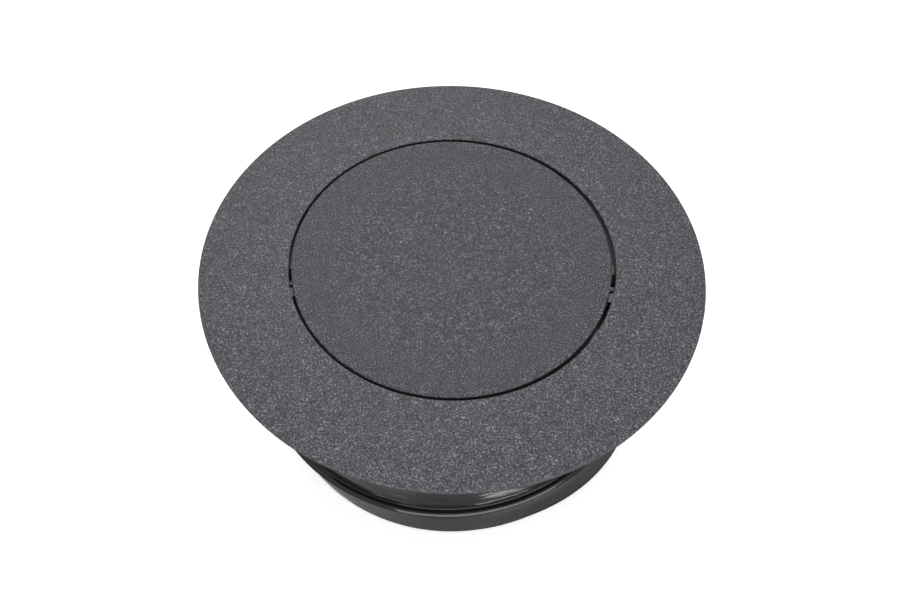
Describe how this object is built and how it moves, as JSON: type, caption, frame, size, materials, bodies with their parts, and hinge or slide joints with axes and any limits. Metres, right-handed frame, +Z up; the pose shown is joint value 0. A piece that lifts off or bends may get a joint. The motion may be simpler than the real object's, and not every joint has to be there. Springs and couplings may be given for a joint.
{
  "type": "desk grommet",
  "caption": "Round desk cable grommet: textured domed flange ring, flush press-to-tip lid on a sprung pivot rod, and a threaded liner that goes down through the desk top.",
  "frame": {"origin": "centre of the desk-top plane: on the grommet's axis, at the underside of the flange", "axes": "+Z up out of the desk along the grommet's axis, -Y towards the side of the lid that is pressed down, +X along the pivot rod"},
  "size_m": [0.08, 0.08, 0.0367],
  "materials": {
    "textured_abs": "charcoal ABS, spark-eroded leather grain",
    "gloss_abs": "black ABS, as moulded, glossy",
    "nylon": "black nylon, satin",
    "zinc_steel": "bright zinc plate",
    "black_steel": "chemically blackened steel, oiled",
    "spring_steel": "music wire, light oil",
    "pad_rubber": "soft black rubber"
  },
  "bodies": {
    "housing": {"top_ring": "textured_abs", "barrel": "gloss_abs", "pivot_rod": "black_steel", "spring_left": "spring_steel", "spring_right": "spring_steel", "stop_pad_left": "pad_rubber", "stop_pad_right": "pad_rubber"},
    "lid": {"lid_disc": "textured_abs", "lid_bracket": "nylon", "lid_screws": "zinc_steel"}
  },
  "joints": [
    {"name": "lid_tip", "type": "hinge", "parent": "housing", "child": "lid", "pos_m": [0, 0, -0.0015], "axis": [1, 0, 0], "range_deg": [0, 80], "stiffness_Nm_per_rad": 0.02, "springref_deg": -28.65, "deforming": ["spring_left", "spring_right"]}
  ]
}
